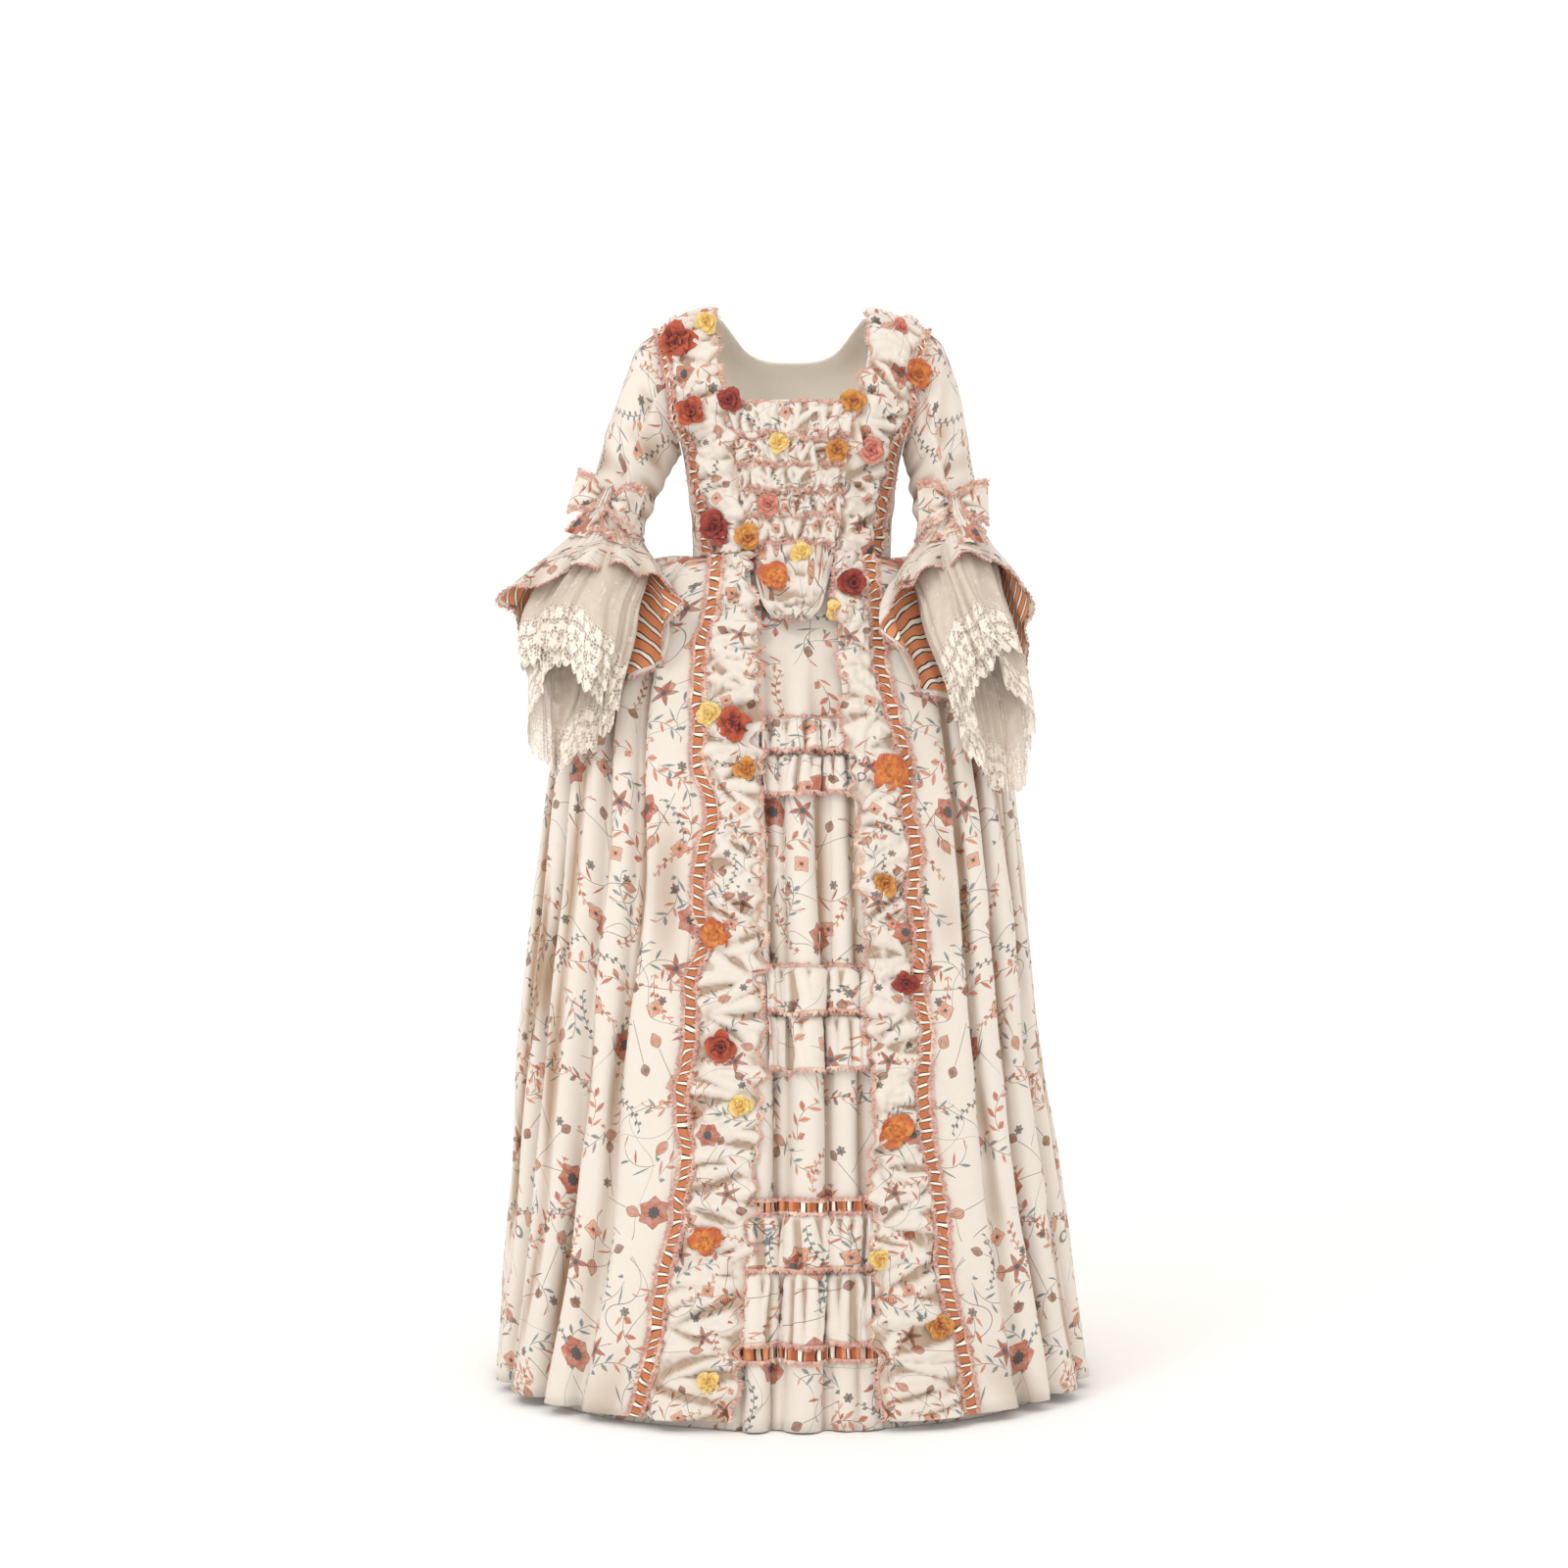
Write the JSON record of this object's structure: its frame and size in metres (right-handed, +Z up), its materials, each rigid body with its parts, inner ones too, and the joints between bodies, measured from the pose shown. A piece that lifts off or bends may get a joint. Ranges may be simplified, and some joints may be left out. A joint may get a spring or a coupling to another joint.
{
  "type": "robe a la francaise",
  "caption": "Sack-back gown open over a petticoat, with a stomacher, ruched trimmings, bowed elbow sleeves and lace frills, held hollow as worn",
  "frame": {"origin": "midway between the shoulder straps, at the height of the shoulder ridge, where the wearer's shoulders carry the garment", "axes": "+Z up from the hem to the shoulders, -Y the front of the garment, +X the wearer's left"},
  "size_m": [0.7714, 0.786, 1.3961],
  "materials": {
    "printed_cotton": "plain woven cotton with a small printed floral pattern, matt",
    "petticoat_cotton": "the same printed cotton, matt",
    "striped_cotton": "woven stripes, orange with white bars edged in dark, matt",
    "cream_lace": "fine net with a worked floral edge, matt",
    "flower_rust": "dyed cloth petals",
    "flower_gold": "dyed cloth petals",
    "flower_red": "dyed cloth petals",
    "flower_rose": "dyed cloth petals",
    "flower_pale": "dyed cloth petals"
  },
  "bodies": {
    "root": {"bodice_front_left": "printed_cotton", "skirt_left": "printed_cotton", "bodice_front_right": "printed_cotton", "skirt_right": "printed_cotton", "bodice_back": "printed_cotton", "sack_back": "printed_cotton", "stomacher": "printed_cotton", "petticoat": "petticoat_cotton", "robing_left": "printed_cotton", "ribbon_left": "striped_cotton", "robing_right": "printed_cotton", "ribbon_right": "striped_cotton", "stomacher_band_1": "printed_cotton", "stomacher_band_2": "printed_cotton", "stomacher_band_3": "printed_cotton", "stomacher_band_4": "printed_cotton", "stomacher_band_5": "printed_cotton", "stomacher_band_6": "printed_cotton", "petticoat_flounce_1_upper": "printed_cotton", "petticoat_flounce_1_lower": "printed_cotton", "petticoat_flounce_2_upper": "printed_cotton", "petticoat_flounce_2_lower": "printed_cotton", "petticoat_flounce_3_upper": "printed_cotton", "petticoat_flounce_3_lower": "printed_cotton", "petticoat_heading": "striped_cotton", "petticoat_foot_ribbon": "striped_cotton", "sleeve_left": "printed_cotton", "cuff_left": "printed_cotton", "cuff_lining_left": "striped_cotton", "lace_upper_left": "cream_lace", "lace_lower_left": "cream_lace", "bow_loops_left": "printed_cotton", "bow_tie_left": "printed_cotton", "sleeve_right": "printed_cotton", "cuff_right": "printed_cotton", "cuff_lining_right": "striped_cotton", "lace_upper_right": "cream_lace", "lace_lower_right": "cream_lace", "bow_loops_right": "printed_cotton", "bow_tie_right": "printed_cotton", "flower_1": "flower_rust", "flower_2": "flower_rust", "flower_3": "flower_rust", "flower_4": "flower_gold", "flower_5": "flower_red", "flower_6": "flower_red", "flower_7": "flower_rose", "flower_8": "flower_gold", "flower_9": "flower_red", "flower_10": "flower_rust", "flower_11": "flower_pale", "flower_12": "flower_red", "flower_13": "flower_gold", "flower_14": "flower_rust", "flower_15": "flower_rust", "flower_16": "flower_rust", "flower_17": "flower_rust", "flower_18": "flower_gold"}
  },
  "joints": []
}
